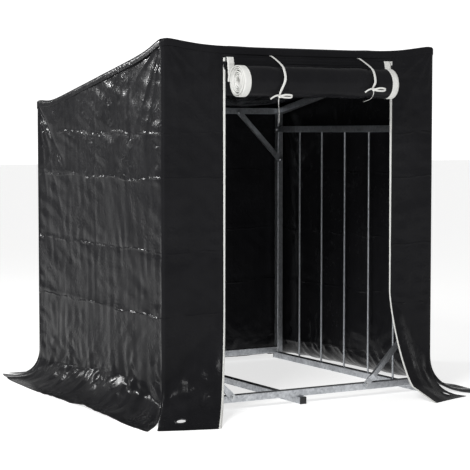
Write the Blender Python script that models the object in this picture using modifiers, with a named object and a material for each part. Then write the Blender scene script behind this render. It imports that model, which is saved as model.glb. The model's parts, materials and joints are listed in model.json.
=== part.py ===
"""Firewood rack: a galvanised square-tube frame under a tarpaulin cover with a roll-up door.

Metres, +Z up. X runs across the front, Y runs from the front to the back, and the origin is on the
ground at the middle of the footprint. The object stands on its three foot bars and its ground skirts.
"""
import math

import bmesh
import bpy
from mathutils import Matrix, Vector

# Cover: outer faces of the walls and roof
COVER_WIDTH = 1.10
COVER_DEPTH = 1.04
FRONT_HEIGHT = 1.25
REAR_HEIGHT = 1.055
SHEET = 0.002
GAP = 0.0003

# Ground skirts: how far each reaches outwards, and the height where it leaves the wall
SIDE_REACH = 0.15
SIDE_REACH_AT_BACK = 0.10
SIDE_TUCK_LENGTH = 0.20
SIDE_FLARE_HEIGHT = 0.14
SIDE_FAN_FRONT = 0.190
SIDE_FAN_BACK = 0.136
BACK_REACH = 0.14
BACK_FAN = 0.077
FLARE_STEPS = 8

# Ground flaps of the front, left one first: they don't lie quite alike
FLAP_REACH_AT_CORNER = (0.197, 0.152)
FLAP_REACH_AT_DOOR = (0.260, 0.220)
FLAP_LEAN_AT_CORNER = (-0.125, 0.044)
FLAP_LEAN_AT_DOOR = (-0.163, 0.044)
FLAP_FLARE_AT_CORNER = 0.14
FLAP_FLARE_AT_DOOR = 0.36
DOOR_HEM = 0.03
CORNER_CLEARANCE = 0.0015

# Peg holes: distance from the flap's corner line, and sideways from the cover's corner, outwards
PEG_HOLE_RADIUS = 0.015
PEG_HOLE_INSET_FRONT = (0.054, 0.040)
PEG_HOLE_OUT_FRONT = (0.008, -0.018)
PEG_HOLE_INSET_BACK = 0.072

# Door opening, measured from the cover's left and right edges
JAMB_LEFT = 0.2295
JAMB_RIGHT = 0.184
ZIP_WIDTH = 0.008
HEADER_BOTTOM = 1.062
DOOR_SEAM = 1.19
DOOR_EDGE_GAP = 0.0035

# Rolled door
ROLL_RADIUS = 0.055
ROLL_HEIGHT = 1.107
ROLL_LOWERED_HEIGHT = 0.115
ROLL_SHORTER_RIGHT = 0.045
PANEL_COUNT = 8
PANEL_THICKNESS = 0.0012
PANEL_PITCH = 0.0018
PANEL_OVERLAP = 0.004

# Zip sliders
SLIDER_WIDTH = 0.012
SLIDER_LENGTH = 0.022
SLIDER_DEPTH = 0.004
SLIDER_HEIGHT = 1.165

# Ties
TIE_RADIUS = 0.003
TIE_X = (-0.165, 0.205)
TIE_END_HEIGHT = (0.972, 1.03)
TIE_CLEARANCE = 0.0015
TIE_ARC_STEPS = 9
TIE_DROP_STEPS = 9

# Frame
TUBE = 0.025
TUBE_WALL = 0.001
TUBE_CORNER = 0.002
POST_INSET_SIDE = 0.032
POST_INSET_FRONT = 0.0325
POST_INSET_REAR = 0.032
POST_TOP_BELOW_ROOF = 0.020
SIDE_RAIL_BELOW_POST_TOP = 0.087
FOOT_OVERHANG_FRONT = 0.014
FOOT_OVERHANG_REAR = 0.008
ROD_RADIUS = 0.004
RODS_PER_SIDE = 5
CAP_FLANGE = 0.003
CAP_STUB = 0.012
CAP_FIT = 0.0005

# Braces: flattened tube ends bolted to the faces of the rails and posts
BRACE_WIDTH = 0.018
BRACE_DEPTH = 0.012
BRACE_TAB_WIDTH = 0.023
BRACE_TAB = 0.003
BRACE_TAB_LENGTH = 0.034
BRACE_TAPER = 0.018
FRONT_BRACE_LEG = 0.250
REAR_BRACE_LEG = 0.205

# Places worked out from the sizes above
LEFT = -COVER_WIDTH / 2
RIGHT = COVER_WIDTH / 2
FRONT = max(FLAP_REACH_AT_DOOR) - (COVER_DEPTH + BACK_REACH + max(FLAP_REACH_AT_DOOR)) / 2
BACK = FRONT + COVER_DEPTH
ROOF_SLOPE = (REAR_HEIGHT - FRONT_HEIGHT) / COVER_DEPTH
FRONT_TOP = FRONT_HEIGHT + ROOF_SLOPE * SHEET - SHEET - GAP
ZIP_LEFT = (LEFT + JAMB_LEFT, LEFT + JAMB_LEFT + ZIP_WIDTH)
ZIP_RIGHT = (RIGHT - JAMB_RIGHT - ZIP_WIDTH, RIGHT - JAMB_RIGHT)
DOOR_LEFT = ZIP_LEFT[1] + DOOR_EDGE_GAP
DOOR_RIGHT = ZIP_RIGHT[0] - DOOR_EDGE_GAP
POST_X = RIGHT - POST_INSET_SIDE
POST_FRONT_Y = FRONT + POST_INSET_FRONT
POST_REAR_Y = BACK - POST_INSET_REAR
FRAME_BASE = TUBE + GAP
DOOR_TRAVEL = ROLL_HEIGHT - ROLL_LOWERED_HEIGHT
PANEL_STEP = DOOR_TRAVEL / (PANEL_COUNT - 1)
PANEL_HEIGHT = PANEL_STEP + PANEL_OVERLAP
ROLL_BACK = FRONT - GAP - PANEL_COUNT * PANEL_PITCH
ROLL_Y = ROLL_BACK - ROLL_RADIUS

for old in list(bpy.data.objects):
    bpy.data.objects.remove(old, do_unlink=True)

PARTS = bpy.data.collections.new("firewood_rack")
CUTTERS = bpy.data.collections.new("cutters")
bpy.context.scene.collection.children.link(PARTS)
bpy.context.scene.collection.children.link(CUTTERS)


def make_material(name, colour, roughness, metallic):
    """A plain Principled material."""
    material = bpy.data.materials.new(name)
    material.use_nodes = True
    shader = material.node_tree.nodes["Principled BSDF"]
    shader.inputs["Base Color"].default_value = (*colour, 1.0)
    shader.inputs["Roughness"].default_value = roughness
    shader.inputs["Metallic"].default_value = metallic
    return material


GALVANISED = make_material("galvanised_steel", (0.55, 0.57, 0.60), 0.45, 0.9)
TARPAULIN = make_material("black_tarpaulin", (0.02, 0.02, 0.022), 0.35, 0.0)
WHITE_TAPE = make_material("white_tape", (0.85, 0.85, 0.84), 0.7, 0.0)
BLACK_PLASTIC = make_material("black_plastic", (0.015, 0.015, 0.018), 0.5, 0.0)


def roof_z(y):
    """Height of the roof's outer face at a depth y."""
    return FRONT_HEIGHT + ROOF_SLOPE * (y - FRONT)


def new_part(name, bm, material):
    """Turn a bmesh into a part, with its origin at its middle."""
    corners = [vert.co for vert in bm.verts]
    low = Vector([min(co[i] for co in corners) for i in range(3)])
    high = Vector([max(co[i] for co in corners) for i in range(3)])
    middle = (low + high) / 2
    bmesh.ops.translate(bm, vec=-middle, verts=bm.verts)
    mesh = bpy.data.meshes.new(name)
    bm.to_mesh(mesh)
    bm.free()
    part = bpy.data.objects.new(name, mesh)
    part.location = middle
    mesh.materials.append(material)
    PARTS.objects.link(part)
    return part


def cuboid(low, high):
    """A bmesh box between two opposite corners."""
    bm = bmesh.new()
    bmesh.ops.create_cube(bm, size=1.0)
    size = Vector(high) - Vector(low)
    bmesh.ops.scale(bm, vec=size, verts=bm.verts)
    bmesh.ops.translate(bm, vec=(Vector(low) + Vector(high)) / 2, verts=bm.verts)
    return bm


def make_box(name, low, high, material):
    """A plain rectangular solid."""
    return new_part(name, cuboid(low, high), material)


def solidify(part, thickness):
    """Give an open surface its thickness, on the side away from its normals."""
    modifier = part.modifiers.new("thickness", "SOLIDIFY")
    modifier.thickness = thickness
    modifier.offset = -1.0
    modifier.use_even_offset = True


def make_tube(name, low, high, axis, slope=0.0):
    """A hollow square tube with open ends and rounded corners; slope tilts one that runs along Y."""
    bm = cuboid(low, high)
    ends = [face for face in bm.faces if abs(face.normal[axis]) > 0.5]
    bmesh.ops.delete(bm, geom=ends, context="FACES")
    long_edges = [
        edge for edge in bm.edges
        if abs(edge.verts[0].co[axis] - edge.verts[1].co[axis]) > GAP
    ]
    bmesh.ops.bevel(bm, geom=long_edges, offset=TUBE_CORNER, segments=2, profile=0.5, affect="EDGES")
    for vert in bm.verts:
        vert.co.z += slope * (vert.co.y - low[1])
    part = new_part(name, bm, GALVANISED)
    solidify(part, TUBE_WALL)
    return part


def make_cap(name, x, y_tube_end, outwards):
    """A push-in end cap: a square flange and a stub that fits inside the foot bar."""
    near = y_tube_end + outwards * GAP
    far = near + outwards * CAP_FLANGE
    bm = cuboid((x - TUBE / 2, min(near, far), 0.0), (x + TUBE / 2, max(near, far), TUBE))
    inner = [face for face in bm.faces if face.normal.y * outwards < -0.5]
    bmesh.ops.inset_individual(bm, faces=inner, thickness=TUBE_WALL + CAP_FIT,
                                use_even_offset=True)
    stub = bmesh.ops.extrude_discrete_faces(bm, faces=inner)["faces"]
    verts = list({vert for face in stub for vert in face.verts})
    bmesh.ops.translate(bm, vec=(0.0, -outwards * CAP_STUB, 0.0), verts=verts)
    new_part(name, bm, BLACK_PLASTIC)


def make_rod(name, x, y, bottom, top):
    """An upright round rod."""
    bm = bmesh.new()
    bmesh.ops.create_cone(bm, cap_ends=True, segments=12, radius1=ROD_RADIUS, radius2=ROD_RADIUS,
                          depth=top - bottom)
    bmesh.ops.translate(bm, vec=(x, y, (top + bottom) / 2), verts=bm.verts)
    part = new_part(name, bm, GALVANISED)
    part.data.shade_smooth()
    part.data.set_sharp_from_angle(angle=math.radians(50))


def make_brace(name, start, end, y_face, side):
    """A bar whose flattened ends lie on a face at y_face; side is -1 in front of it."""
    length = math.hypot(end[0] - start[0], end[1] - start[1])
    bm = cuboid((-length / 2, -BRACE_DEPTH / 2, -BRACE_WIDTH / 2),
                (length / 2, BRACE_DEPTH / 2, BRACE_WIDTH / 2))
    for place in (BRACE_TAB_LENGTH, BRACE_TAB_LENGTH + BRACE_TAPER):
        for sign in (-1, 1):
            bmesh.ops.bisect_plane(bm, geom=bm.verts[:] + bm.edges[:] + bm.faces[:],
                                   plane_co=(sign * (length / 2 - place), 0, 0), plane_no=(1, 0, 0))
    for vert in bm.verts:
        if abs(vert.co.x) > length / 2 - BRACE_TAB_LENGTH - GAP:
            vert.co.y *= BRACE_TAB / BRACE_DEPTH
            vert.co.z *= BRACE_TAB_WIDTH / BRACE_WIDTH
    angle = math.atan2(end[1] - start[1], end[0] - start[0])
    middle = ((start[0] + end[0]) / 2, y_face + side * (GAP + BRACE_TAB / 2), (start[1] + end[1]) / 2)
    bmesh.ops.rotate(bm, cent=(0, 0, 0), matrix=Matrix.Rotation(-angle, 3, "Y"), verts=bm.verts)
    bmesh.ops.translate(bm, vec=middle, verts=bm.verts)
    new_part(name, bm, GALVANISED)


def make_sheet(name, edges, material):
    """A sheet lofted through edges of equal point count; its normals face outwards."""
    bm = bmesh.new()
    rows = [[bm.verts.new(point) for point in edge] for edge in edges]
    for side_a, side_b in zip(rows, rows[1:]):
        for i in range(len(side_a) - 1):
            bm.faces.new((side_a[i], side_a[i + 1], side_b[i + 1], side_b[i]))
    part = new_part(name, bm, material)
    solidify(part, SHEET)
    part.modifiers.new("flat_faces", "TRIANGULATE")
    return part


def flare(reach, height):
    """Outward distance and height down a quarter ellipse, from the wall to the ground."""
    points = []
    for step in range(FLARE_STEPS + 1):
        turn = math.radians(90 * step / FLARE_STEPS)
        points.append((reach * (1 - math.cos(turn)), SHEET + (height - SHEET) * (1 - math.sin(turn))))
    return points


def corner_edge(x, side):
    """The upright edge of a front panel at the cover's corner, down to its ground flap."""
    reach = FLAP_REACH_AT_CORNER[side]
    edge = [(x, FRONT, FRONT_TOP)]
    for out, z in flare(reach, FLAP_FLARE_AT_CORNER):
        edge.append((x + FLAP_LEAN_AT_CORNER[side] * out / reach, FRONT - out, z))
    return edge


def door_edge(x, side):
    """An upright edge of a front panel or zip beside the door, down to the ground flap."""
    reach = FLAP_REACH_AT_DOOR[side]
    edge = [(x, FRONT, FRONT_TOP)]
    for out, z in flare(reach, FLAP_FLARE_AT_DOOR):
        edge.append((x + FLAP_LEAN_AT_DOOR[side] * out / reach, FRONT - out, z))
    return edge


def side_edge(sign, y, reach, fan):
    """One upright edge of a side wall; fan moves the skirt's hem along Y."""
    x = sign * COVER_WIDTH / 2
    edge = [(x, y, roof_z(y) - SHEET - GAP)]
    for out, z in flare(reach, SIDE_FLARE_HEIGHT):
        edge.append((x + sign * out, y + fan * out / reach, z))
    return edge


def back_edge(x, fan):
    """One upright edge of the back wall; fan moves the skirt's hem along X."""
    edge = [(x, BACK, REAR_HEIGHT - SHEET - GAP)]
    for out, z in flare(BACK_REACH, SIDE_FLARE_HEIGHT):
        edge.append((x + fan * out / BACK_REACH, BACK + out, z))
    return edge


def punch(part, x, y):
    """Cut an upright peg hole through a ground flap."""
    bm = bmesh.new()
    bmesh.ops.create_cone(bm, cap_ends=True, segments=24, radius1=PEG_HOLE_RADIUS,
                          radius2=PEG_HOLE_RADIUS, depth=FLAP_FLARE_AT_DOOR)
    mesh = bpy.data.meshes.new(part.name + "_hole")
    bm.to_mesh(mesh)
    bm.free()
    cutter = bpy.data.objects.new(part.name + "_hole", mesh)
    cutter.location = (x, y, 0.0)
    cutter.hide_render = True
    cutter.display_type = "WIRE"
    CUTTERS.objects.link(cutter)
    cut = part.modifiers.new("peg_hole", "BOOLEAN")
    cut.operation = "DIFFERENCE"
    cut.object = cutter


def build_feet():
    """Three foot bars lie on the ground from front to back, each with a cap in both ends."""
    front = POST_FRONT_Y - TUBE / 2 - FOOT_OVERHANG_FRONT
    rear = POST_REAR_Y + TUBE / 2 + FOOT_OVERHANG_REAR
    for name, x in (("left", -POST_X), ("centre", 0.0), ("right", POST_X)):
        make_tube("foot_bar_" + name, (x - TUBE / 2, front, 0.0), (x + TUBE / 2, rear, TUBE), 1)
        make_cap("foot_cap_front_" + name, x, front, -1)
        make_cap("foot_cap_rear_" + name, x, rear, 1)


def build_posts():
    """Four posts stand on the outer foot bars."""
    for depth, y in (("front", POST_FRONT_Y), ("rear", POST_REAR_Y)):
        for name, x in (("left", -POST_X), ("right", POST_X)):
            make_tube("post_%s_%s" % (depth, name), (x - TUBE / 2, y - TUBE / 2, FRAME_BASE),
                      (x + TUBE / 2, y + TUBE / 2, post_top(y)), 2)


def post_top(y):
    """Top of a post: its back edge stays a little below the roof."""
    return roof_z(y) - POST_TOP_BELOW_ROOF


def side_rail_z():
    """Height of the side rails' middle line, a set distance below the tops of the rear posts."""
    return post_top(POST_REAR_Y) - SIDE_RAIL_BELOW_POST_TOP


def build_cross_rails():
    """Base rails and top rails join the left posts to the right posts."""
    inner = POST_X - TUBE / 2 - GAP
    for depth, y in (("front", POST_FRONT_Y), ("rear", POST_REAR_Y)):
        for name, bottom in (("base_rail_", FRAME_BASE), ("top_rail_", post_top(y) - TUBE)):
            make_tube(name + depth, (-inner, y - TUBE / 2, bottom), (inner, y + TUBE / 2, bottom + TUBE), 0)


def build_side_rails():
    """Level side rails hold the rods, and sloping roof rails carry the cover."""
    front = POST_FRONT_Y + TUBE / 2 + GAP
    rear = POST_REAR_Y - TUBE / 2 - GAP
    slope = (post_top(POST_REAR_Y) - post_top(POST_FRONT_Y)) / (rear - front)
    roof_bottom = post_top(POST_FRONT_Y) - TUBE
    end_clearance = TUBE_WALL * abs(slope)
    middle = side_rail_z()
    for name, x in (("left", -POST_X), ("right", POST_X)):
        make_tube("side_rail_" + name, (x - TUBE / 2, front, middle - TUBE / 2),
                  (x + TUBE / 2, rear, middle + TUBE / 2), 1)
        make_tube("roof_rail_" + name, (x - TUBE / 2, front + end_clearance, roof_bottom),
                  (x + TUBE / 2, rear - end_clearance, roof_bottom + TUBE), 1, slope)


def build_rods():
    """Upright rods close the sides, evenly spaced between the posts."""
    pitch = (POST_REAR_Y - POST_FRONT_Y) / (RODS_PER_SIDE + 1)
    top = side_rail_z() - TUBE / 2 - GAP
    for name, x in (("left", -POST_X), ("right", POST_X)):
        for i in range(RODS_PER_SIDE):
            make_rod("side_rod_%s_%d" % (name, i + 1), x, POST_FRONT_Y + pitch * (i + 1), FRAME_BASE, top)


def build_braces():
    """Lower braces stiffen the front, and upper braces stiffen the back."""
    base = FRAME_BASE + TUBE / 2
    rear_top = post_top(POST_REAR_Y) - TUBE / 2
    for name, sign in (("left", -1), ("right", 1)):
        post = sign * POST_X
        make_brace("front_brace_" + name, (post - sign * FRONT_BRACE_LEG, base),
                   (post, base + FRONT_BRACE_LEG), POST_FRONT_Y - TUBE / 2, -1)
        make_brace("rear_brace_" + name, (post - sign * REAR_BRACE_LEG, rear_top),
                   (post, rear_top - REAR_BRACE_LEG), POST_REAR_Y - TUBE / 2, -1)


def build_roof():
    """The roof panel slopes down to the back."""
    bm = cuboid((LEFT, FRONT, FRONT_HEIGHT - SHEET), (RIGHT, BACK, FRONT_HEIGHT))
    for vert in bm.verts:
        vert.co.z += ROOF_SLOPE * (vert.co.y - FRONT)
    new_part("cover_roof", bm, TARPAULIN)


def build_walls():
    """Side and back walls, each one sheet with its ground skirt."""
    front = FRONT + SHEET + GAP
    rear = BACK - SHEET - GAP
    for name, sign in (("cover_side_left", -1), ("cover_side_right", 1)):
        edges = [side_edge(sign, front, SIDE_REACH, -SIDE_FAN_FRONT),
                 side_edge(sign, rear - SIDE_TUCK_LENGTH, SIDE_REACH, 0.0),
                 side_edge(sign, rear, SIDE_REACH_AT_BACK, SIDE_FAN_BACK)]
        make_sheet(name, edges[::sign], TARPAULIN)
    back = make_sheet("cover_back", [back_edge(RIGHT, BACK_FAN), back_edge(LEFT, -BACK_FAN)], TARPAULIN)
    for x in (LEFT, RIGHT):
        punch(back, x, BACK + BACK_REACH - PEG_HOLE_INSET_BACK)


def build_front():
    """The front: a header over the door, and a panel with a ground flap on each side of it."""
    inner_left = ZIP_LEFT[0] - GAP
    inner_right = ZIP_RIGHT[1] + GAP
    left = make_sheet("cover_front_left",
                      [corner_edge(LEFT + CORNER_CLEARANCE, 0), door_edge(inner_left - DOOR_HEM, 0),
                       door_edge(inner_left, 0)], TARPAULIN)
    right = make_sheet("cover_front_right",
                       [door_edge(inner_right, 1), door_edge(inner_right + DOOR_HEM, 1),
                        corner_edge(RIGHT - CORNER_CLEARANCE, 1)], TARPAULIN)
    for side, part, corner, sign in ((0, left, LEFT, -1), (1, right, RIGHT, 1)):
        punch(part, corner + sign * PEG_HOLE_OUT_FRONT[side],
              FRONT - FLAP_REACH_AT_CORNER[side] + PEG_HOLE_INSET_FRONT[side])
    make_box("cover_header", (ZIP_LEFT[1] + GAP, FRONT, HEADER_BOTTOM),
             (ZIP_RIGHT[0] - GAP, FRONT + SHEET, FRONT_TOP), TARPAULIN)


def build_zips():
    """White zip chains edge the door opening and run down the inner edges of the flaps."""
    for side, (name, edges) in enumerate((("zip_left", ZIP_LEFT), ("zip_right", ZIP_RIGHT))):
        make_sheet(name, [door_edge(x, side) for x in edges], WHITE_TAPE)


def build_sliders():
    """Each zip has a slider, parked at the top while the door is rolled up."""
    face = FRONT - GAP
    for name, edges in (("zip_slider_left", ZIP_LEFT), ("zip_slider_right", ZIP_RIGHT)):
        x = (edges[0] + edges[1]) / 2
        bm = cuboid((x - SLIDER_WIDTH / 2, face - SLIDER_DEPTH, SLIDER_HEIGHT - SLIDER_LENGTH / 2),
                    (x + SLIDER_WIDTH / 2, face, SLIDER_HEIGHT + SLIDER_LENGTH / 2))
        new_part(name, bm, BLACK_PLASTIC)


def build_door():
    """The door hangs from the header as overlapping panels, and the rest of it is rolled up."""
    for i in range(PANEL_COUNT):
        near = FRONT - GAP - PANEL_PITCH * i
        make_box("door_panel_%d" % (i + 1), (DOOR_LEFT, near - PANEL_THICKNESS, DOOR_SEAM - PANEL_HEIGHT),
                 (DOOR_RIGHT, near, DOOR_SEAM), TARPAULIN)
    bm = bmesh.new()
    length = DOOR_RIGHT - ROLL_SHORTER_RIGHT - DOOR_LEFT
    bmesh.ops.create_cone(bm, cap_ends=True, segments=32, radius1=ROLL_RADIUS, radius2=ROLL_RADIUS,
                          depth=length)
    bmesh.ops.rotate(bm, cent=(0, 0, 0), matrix=Matrix.Rotation(math.radians(90), 3, "Y"), verts=bm.verts)
    bmesh.ops.translate(bm, vec=(DOOR_LEFT + length / 2, ROLL_Y, ROLL_HEIGHT), verts=bm.verts)
    roll = new_part("door_roll", bm, TARPAULIN)
    roll.data.shade_smooth()
    roll.data.set_sharp_from_angle(angle=math.radians(50))


def build_ties():
    """A tape sewn to the header passes over the front of the roll and hangs down."""
    radius = ROLL_RADIUS + TIE_RADIUS + TIE_CLEARANCE
    for name, x, end in zip(("tie_left", "tie_right"), TIE_X, TIE_END_HEIGHT):
        over_seam = DOOR_SEAM + 2 * TIE_RADIUS
        route = [Vector((x, FRONT - GAP, over_seam)), Vector((x, ROLL_BACK - TIE_RADIUS, over_seam))]
        for step in range(TIE_ARC_STEPS + 1):
            turn = math.radians(90 * (1 - step / TIE_ARC_STEPS))
            route.append(Vector((x, ROLL_Y - radius * math.cos(turn), ROLL_HEIGHT + radius * math.sin(turn))))
        for step in range(1, TIE_DROP_STEPS + 1):
            route.append(Vector((x, ROLL_Y - radius, ROLL_HEIGHT + (end - ROLL_HEIGHT) * step / TIE_DROP_STEPS)))
        curve = bpy.data.curves.new(name, "CURVE")
        curve.dimensions = "3D"
        curve.bevel_depth = TIE_RADIUS
        curve.bevel_resolution = 2
        curve.use_fill_caps = True
        spline = curve.splines.new("POLY")
        spline.points.add(len(route) - 1)
        middle = sum(route, Vector()) / len(route)
        for point, place in zip(spline.points, route):
            point.co = (*(place - middle), 1.0)
        curve.materials.append(WHITE_TAPE)
        tie = bpy.data.objects.new(name, curve)
        tie.location = middle
        PARTS.objects.link(tie)


build_feet()
build_posts()
build_cross_rails()
build_side_rails()
build_rods()
build_braces()
build_roof()
build_walls()
build_front()
build_zips()
build_sliders()
build_door()
build_ties()
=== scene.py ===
"""Looks of a firewood rack: a galvanised tube frame in a black tarpaulin cover with a rolled-up door.

Metres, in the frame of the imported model: +Y runs from the door to the back, and the floor is Z = 0.
"""
import itertools
import json
import math

import bmesh
import bpy
import numpy as np
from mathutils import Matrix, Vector


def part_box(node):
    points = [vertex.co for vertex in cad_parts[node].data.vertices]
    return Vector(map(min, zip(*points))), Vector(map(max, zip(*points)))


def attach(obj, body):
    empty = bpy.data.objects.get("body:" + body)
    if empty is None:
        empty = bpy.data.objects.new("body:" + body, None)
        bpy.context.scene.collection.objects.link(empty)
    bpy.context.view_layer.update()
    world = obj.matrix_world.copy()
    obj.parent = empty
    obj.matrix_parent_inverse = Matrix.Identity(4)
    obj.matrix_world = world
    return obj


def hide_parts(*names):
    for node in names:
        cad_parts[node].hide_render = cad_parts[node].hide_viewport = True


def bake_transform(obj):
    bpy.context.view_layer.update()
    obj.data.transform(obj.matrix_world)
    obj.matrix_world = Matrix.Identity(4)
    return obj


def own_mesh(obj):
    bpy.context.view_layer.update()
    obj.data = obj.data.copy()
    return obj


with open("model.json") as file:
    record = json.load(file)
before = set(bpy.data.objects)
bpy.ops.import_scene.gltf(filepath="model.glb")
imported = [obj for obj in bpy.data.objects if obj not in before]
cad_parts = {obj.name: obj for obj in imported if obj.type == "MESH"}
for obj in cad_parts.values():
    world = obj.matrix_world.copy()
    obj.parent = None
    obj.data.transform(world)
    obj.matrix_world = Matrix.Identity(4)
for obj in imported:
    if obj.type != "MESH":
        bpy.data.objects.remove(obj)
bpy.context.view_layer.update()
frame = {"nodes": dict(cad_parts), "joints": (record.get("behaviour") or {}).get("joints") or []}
scene = bpy.context.scene

# ----------------------------------------------------------------------
# Studio. A plain pale floor and white surroundings, with a key light in front at the upper left and
# a small one behind that gives the sheet its glints. The camera looks at the door and the left side.
# ----------------------------------------------------------------------


def linear(colour):
    """Linear RGBA from an sRGB hex value."""
    channels = [int(colour[i:i + 2], 16) / 255 for i in (1, 3, 5)]
    return (*[c / 12.92 if c <= 0.04045 else ((c + 0.055) / 1.055) ** 2.4 for c in channels], 1.0)


def add(material, kind, inputs=None, **settings):
    """Add a shader node; an input takes a value, or an output socket to link."""
    tree = material.node_tree
    node = tree.nodes.new("ShaderNode" + kind)
    for name, value in settings.items():
        setattr(node, name, value)
    for key, value in (inputs or {}).items():
        if isinstance(value, bpy.types.NodeSocket):
            tree.links.new(value, node.inputs[key])
        else:
            node.inputs[key].default_value = value
    return node


def start_material(name, **sockets):
    """A Principled material with its constants set; gives it, its shader and the object's coordinates."""
    material = bpy.data.materials.new(name)
    material.use_nodes = True
    shader = material.node_tree.nodes["Principled BSDF"]
    for socket, value in sockets.items():
        shader.inputs[socket.replace("_", " ")].default_value = value
    return material, shader, add(material, "TexCoord").outputs["Object"]


def link(material, output, shader, socket):
    """Link a node's output to one of the shader's sockets."""
    material.node_tree.links.new(output, shader.inputs[socket])


def paint(material, shader, factor, dark, light):
    """Blend the base colour between two hex values, by a factor from 0 to 1."""
    mix = add(material, "Mix", {0: factor, 6: linear(dark), 7: linear(light)}, data_type="RGBA")
    link(material, mix.outputs[2], shader, "Base Color")


def mottle(material, point, scale, detail, **more):
    """Cloudy noise from 0 to 1; more holds other inputs of the noise."""
    return add(material, "TexNoise", {"Vector": point, "Scale": scale, "Detail": detail, **more}).outputs[0]


def bands(material, point, period, direction, **more):
    """Even bands, one in each period in metres, along an axis."""
    inputs = {"Vector": point, "Scale": math.tau / (20 * period), **more}
    return add(material, "TexWave", inputs, bands_direction=direction).outputs[1]


def combine(material, operation, *values):
    """The result of a sum or other operation on sockets and numbers."""
    return add(material, "Math", dict(enumerate(values)), operation=operation).outputs[0]


def remap(material, value, low, high, new_low=0.0, new_high=1.0):
    """A value moved from one range to another, and held inside it."""
    inputs = {"Value": value, 1: low, 2: high, 3: new_low, 4: new_high}
    return add(material, "MapRange", inputs).outputs[0]


def add_bump(material, height, strength, distance, under=None):
    """A bump of a height in metres, on top of the one under it."""
    bump = add(material, "Bump", {"Height": height, "Strength": strength, "Distance": distance})
    if under is not None:
        material.node_tree.links.new(under, bump.inputs["Normal"])
    return bump.outputs[0]


floor_paint, shader, point = start_material("pale_studio_floor", Roughness=0.85, Specular_IOR_Level=0.2,
                                            Emission_Color=linear("#FFFFFF"), Emission_Strength=0.72)
paint(floor_paint, shader, mottle(floor_paint, point, 3.0, 4.0), "#C4C4C3", "#CBCBCA")
bpy.ops.mesh.primitive_plane_add(size=80.0)
floor = bpy.context.object
floor.name = "studio_floor"
floor.data.materials.append(floor_paint)

world = bpy.data.worlds.new("studio")
world.use_nodes = True
# A low white backdrop with a dim gap at each end, which the door's side and the side walls mirror, so
# that the film stays dark, and a dim studio above it
around = add(world, "TexCoord").outputs["Generated"]
sideways = (0.5, -0.866, 0.0)
facing = add(world, "VectorMath", {0: around, 1: sideways}, operation="DOT_PRODUCT").outputs["Value"]
beside = remap(world, combine(world, "ABSOLUTE", facing), 0.8, 0.92, 1.0, 0.0)
over = remap(world, add(world, "SeparateXYZ", {0: around}).outputs[2], 0.1, 0.16, 1.0, 0.0)
white = remap(world, combine(world, "MULTIPLY", beside, over), 0.0, 1.0, 0.3, 1.2)
background = world.node_tree.nodes["Background"]
link(world, white, background, "Strength")
background.inputs["Color"].default_value = linear("#FFFFFF")
scene.world = world
scene.view_settings.view_transform = "Standard"


def add_softbox(name, place, aim, size, power):
    """A square area light at a place, turned to a point."""
    lamp = bpy.data.lights.new(name, "AREA")
    lamp.size = size
    lamp.energy = power
    softbox = bpy.data.objects.new(name, lamp)
    softbox.location = place
    softbox.rotation_euler = (Vector(aim) - Vector(place)).to_track_quat("-Z", "Y").to_euler()
    scene.collection.objects.link(softbox)


add_softbox("key_softbox", (-3.4, -2.6, 3.6), (-0.2, 0.0, 0.6), 1.4, 150.0)
add_softbox("glint_softbox", (-2.6, 3.4, 1.9), (-0.5, 0.1, 0.6), 0.3, 80.0)

camera_data = bpy.data.cameras.new("camera")
camera_data.sensor_width = 36.0
camera_data.lens = 120.5
camera = bpy.data.objects.new("camera", camera_data)
camera.location = (-2.913, -5.017, 0.935)
camera.rotation_euler = (math.radians(90.0 - 3.68), 0.0, math.radians(-30.06))
scene.collection.objects.link(camera)
scene.camera = camera


def middle_of(name):
    """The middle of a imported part's box."""
    return [(low + high) / 2 for low, high in zip(*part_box(name))]


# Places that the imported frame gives: the cover's planes, the door's edges and the roll
(LEFT, FRONT, _), (RIGHT, BACK, FRONT_TOP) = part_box("cover_roof")
ROOF_SLOPE = (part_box("cover_back")[1][2] - FRONT_TOP) / (BACK - FRONT)
ZIP_LEFT = (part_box("cover_front_left")[1][0] + 0.0003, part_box("cover_header")[0][0] - 0.0003)
ZIP_RIGHT = (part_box("cover_header")[1][0] + 0.0003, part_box("cover_header")[1][0] + 0.0083)
DOOR_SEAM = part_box("door_panel_1")[1][2]
DOOR_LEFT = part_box("door_panel_1")[0][0]
DOOR_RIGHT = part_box("door_panel_1")[1][0]
roll_low, roll_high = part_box("door_roll")
ROLL_RADIUS = (roll_high[2] - roll_low[2]) / 2
_, ROLL_Y, ROLL_Z = middle_of("door_roll")
TRAVEL = next(joint for joint in frame["joints"] if joint["name"] == "door_lower")["range_m"][1]


def roof_z(y):
    """Height of the roof's flat plane at a depth y."""
    return FRONT_TOP + ROOF_SLOPE * (y - FRONT)


# ----------------------------------------------------------------------
# Ties. Two flat white polyester tapes are sewn in with the door's seam. Each runs over the front of
# the roll to a bow under it, and its loose end hangs down as a thin string.
# ----------------------------------------------------------------------
TAPE_WIDTH = 0.009
TAPE_THICKNESS = 0.0009
STRING_WIDTH = 0.0058
BOW_WIDTH = 0.0066
RIB_PERIOD = 0.003

# Woven polyester tape: matt, bright white, with fine ribs across it. The real ribs are under 1 mm
# apart and are drawn at 3 mm, so that they show.
white_tape, shader, point = start_material("woven_polyester_tape", Roughness=0.72,
                                           Specular_IOR_Level=0.35, Sheen_Weight=0.15)
paint(white_tape, shader, mottle(white_tape, point, 45.0, 5.0), "#D2D2CE", "#EBEBE8")
ribs = bands(white_tape, point, RIB_PERIOD, "Z", Distortion=0.6)
link(white_tape, add_bump(white_tape, ribs, 0.35, 0.0006), shader, "Normal")


def hill(offset, width):
    """A smooth rise that is 1 in its middle and fades over its width."""
    return np.exp(-(offset / width) ** 2)


def ease(share):
    """From 0 to 1 with a soft start and end."""
    return share * share * (3 - 2 * share)


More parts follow.
